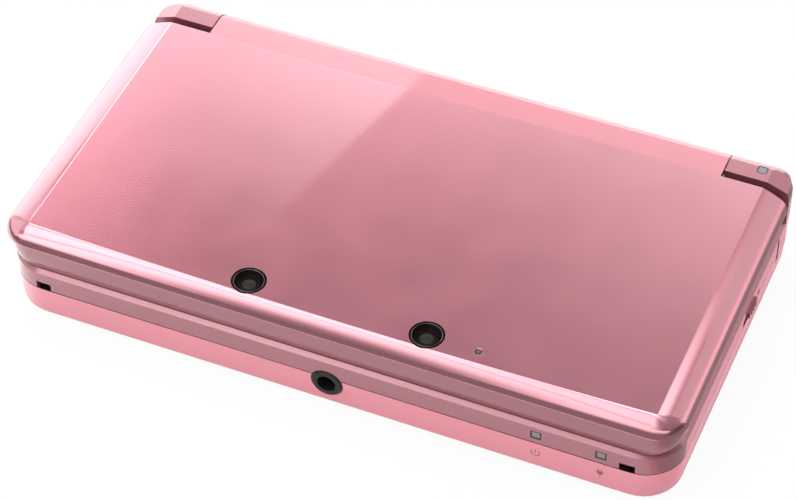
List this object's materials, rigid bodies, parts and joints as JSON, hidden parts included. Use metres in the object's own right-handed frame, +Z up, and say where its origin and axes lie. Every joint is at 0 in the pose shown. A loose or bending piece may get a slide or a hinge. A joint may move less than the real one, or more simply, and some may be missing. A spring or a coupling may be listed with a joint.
{
  "type": "clamshell handheld game console",
  "caption": "Closed clamshell handheld console with a glossy pearl lid on a rear barrel hinge, two outer cameras, inner screens, keys, a front headphone jack and card slots.",
  "frame": {"origin": "centre of the footprint at the table under the rubber feet", "axes": "+X towards the player's right along the hinge, +Y towards the hinge, +Z up through the lid"},
  "size_m": [0.134, 0.074, 0.021],
  "materials": {
    "cover_pink": "glossy",
    "frame_pink": "satin pearl",
    "lid_pink": "glossy pearl",
    "shell_mauve": "satin pearl",
    "barrel_pink": "glossy pearl",
    "grey_keys": "satin",
    "black_keys": "glossy",
    "black_plastic": "matte",
    "black_gloss": "glossy",
    "rubber": "matte",
    "clear_light": "frosted",
    "screen_glass": "glossy",
    "steel": "brushed",
    "plated_brass": "polished",
    "circuit_board": "satin",
    "battery_wrap": "matte"
  },
  "bodies": {
    "base": {"bottom_cover": "cover_pink", "cover_screws": "steel", "rubber_feet": "rubber", "inner_tray": "black_plastic", "battery": "battery_wrap", "main_board": "circuit_board", "top_frame": "frame_pink", "touch_panel": "screen_glass", "lower_display": "steel", "button_pads": "rubber", "slide_pad_housing": "black_plastic", "shoulder_pins": "steel", "wireless_light": "clear_light", "status_lights": "clear_light", "notification_light": "clear_light", "headphone_jack": "black_gloss", "game_card_slot": "black_plastic", "memory_card_slot": "steel", "charging_port": "black_plastic", "cradle_contacts": "plated_brass", "infrared_window": "black_gloss", "strap_bars": "black_plastic", "frame_screws": "steel", "hinge_pin_left": "steel", "hinge_clutch_right": "steel"},
    "lid": {"lid_outer_cover": "lid_pink", "lid_inner_shell": "shell_mauve", "hinge_barrel": "barrel_pink", "upper_glass": "screen_glass", "upper_display": "steel", "camera_board": "circuit_board", "camera_rings": "black_gloss", "camera_modules": "black_gloss", "recording_light": "clear_light", "inner_camera": "black_gloss", "speakers": "black_plastic", "lid_bumpers": "rubber", "lid_screws": "steel"},
    "depth_slider": {"depth_slider": "grey_keys"},
    "slide_pad_carriage": {"slide_pad_carriage": "black_plastic"},
    "slide_pad": {"slide_pad": "grey_keys"},
    "dpad_pivot": {"dpad_pivot": "rubber"},
    "dpad": {"dpad": "black_keys"},
    "face_button_back": {"face_button_back": "grey_keys"},
    "face_button_right": {"face_button_right": "grey_keys"},
    "face_button_front": {"face_button_front": "grey_keys"},
    "face_button_left": {"face_button_left": "grey_keys"},
    "select_key": {"select_key": "black_keys"},
    "home_key": {"home_key": "black_keys"},
    "start_key": {"start_key": "black_keys"},
    "power_button": {"power_button": "grey_keys"},
    "shoulder_button_left": {"shoulder_button_left": "frame_pink"},
    "shoulder_button_right": {"shoulder_button_right": "frame_pink"},
    "volume_slider": {"volume_slider": "grey_keys"},
    "wireless_switch": {"wireless_switch": "frame_pink"},
    "memory_card_flap": {"memory_card_flap": "cover_pink"},
    "stylus_rod": {"stylus_rod": "black_plastic"},
    "stylus_barrel": {"stylus_barrel": "steel"}
  },
  "joints": [
    {"name": "lid_hinge", "type": "hinge", "parent": "base", "child": "lid", "pos_m": [0, 0.0315, 0.0155], "axis": [-1, 0, 0], "range_deg": [0, 155]},
    {"name": "slide_pad_x", "type": "slide", "parent": "base", "child": "slide_pad_carriage", "axis": [1, 0, 0], "range_m": [-0.002, 0.002], "stiffness_N_per_m": 150},
    {"name": "slide_pad_y", "type": "slide", "parent": "slide_pad_carriage", "child": "slide_pad", "axis": [0, 1, 0], "range_m": [-0.002, 0.002], "stiffness_N_per_m": 150},
    {"name": "dpad_rock_x", "type": "hinge", "parent": "base", "child": "dpad_pivot", "pos_m": [-0.0485, -0.02, 0.0083], "axis": [1, 0, 0], "range_deg": [-2.5, 2.5], "stiffness_Nm_per_rad": 0.2},
    {"name": "dpad_rock_y", "type": "hinge", "parent": "dpad_pivot", "child": "dpad", "pos_m": [-0.0485, -0.02, 0.0083], "axis": [0, 1, 0], "range_deg": [-2.5, 2.5], "stiffness_Nm_per_rad": 0.2},
    {"name": "face_button_back_press", "type": "slide", "parent": "base", "child": "face_button_back", "axis": [0, 0, -1], "range_m": [0, 0.0007], "stiffness_N_per_m": 300},
    {"name": "face_button_right_press", "type": "slide", "parent": "base", "child": "face_button_right", "axis": [0, 0, -1], "range_m": [0, 0.0007], "stiffness_N_per_m": 300},
    {"name": "face_button_front_press", "type": "slide", "parent": "base", "child": "face_button_front", "axis": [0, 0, -1], "range_m": [0, 0.0007], "stiffness_N_per_m": 300},
    {"name": "face_button_left_press", "type": "slide", "parent": "base", "child": "face_button_left", "axis": [0, 0, -1], "range_m": [0, 0.0007], "stiffness_N_per_m": 300},
    {"name": "select_key_press", "type": "slide", "parent": "base", "child": "select_key", "axis": [0, 0, -1], "range_m": [0, 0.0003], "stiffness_N_per_m": 500},
    {"name": "home_key_press", "type": "slide", "parent": "base", "child": "home_key", "axis": [0, 0, -1], "range_m": [0, 0.0003], "stiffness_N_per_m": 500},
    {"name": "start_key_press", "type": "slide", "parent": "base", "child": "start_key", "axis": [0, 0, -1], "range_m": [0, 0.0003], "stiffness_N_per_m": 500},
    {"name": "power_button_press", "type": "slide", "parent": "base", "child": "power_button", "axis": [0, 0, -1], "range_m": [0, 0.0003], "stiffness_N_per_m": 500},
    {"name": "shoulder_right_press", "type": "hinge", "parent": "base", "child": "shoulder_button_right", "pos_m": [0.0455, 0.0334, 0.0052], "axis": [0, 0, -1], "range_deg": [0, 2.5], "stiffness_Nm_per_rad": 0.5},
    {"name": "shoulder_left_press", "type": "hinge", "parent": "base", "child": "shoulder_button_left", "pos_m": [-0.0455, 0.0334, 0.0052], "axis": [0, 0, 1], "range_deg": [0, 2.5], "stiffness_Nm_per_rad": 0.5},
    {"name": "volume_slide", "type": "slide", "parent": "base", "child": "volume_slider", "axis": [0, 1, 0], "range_m": [0, 0.008]},
    {"name": "wireless_slide", "type": "slide", "parent": "base", "child": "wireless_switch", "axis": [0, -1, 0], "range_m": [0, 0.0025], "stiffness_N_per_m": 200},
    {"name": "depth_slide", "type": "slide", "parent": "lid", "child": "depth_slider", "axis": [0, -1, 0], "range_m": [0, 0.009]},
    {"name": "memory_flap_hinge", "type": "hinge", "parent": "base", "child": "memory_card_flap", "pos_m": [-0.06565, 0, 0.00205], "axis": [0, -1, 0], "range_deg": [0, 90]},
    {"name": "stylus_pull", "type": "slide", "parent": "base", "child": "stylus_rod", "axis": [0, 1, 0], "range_m": [0, 0.068]},
    {"name": "stylus_extend", "type": "slide", "parent": "stylus_rod", "child": "stylus_barrel", "axis": [0, 1, 0], "range_m": [0, 0.027]}
  ]
}
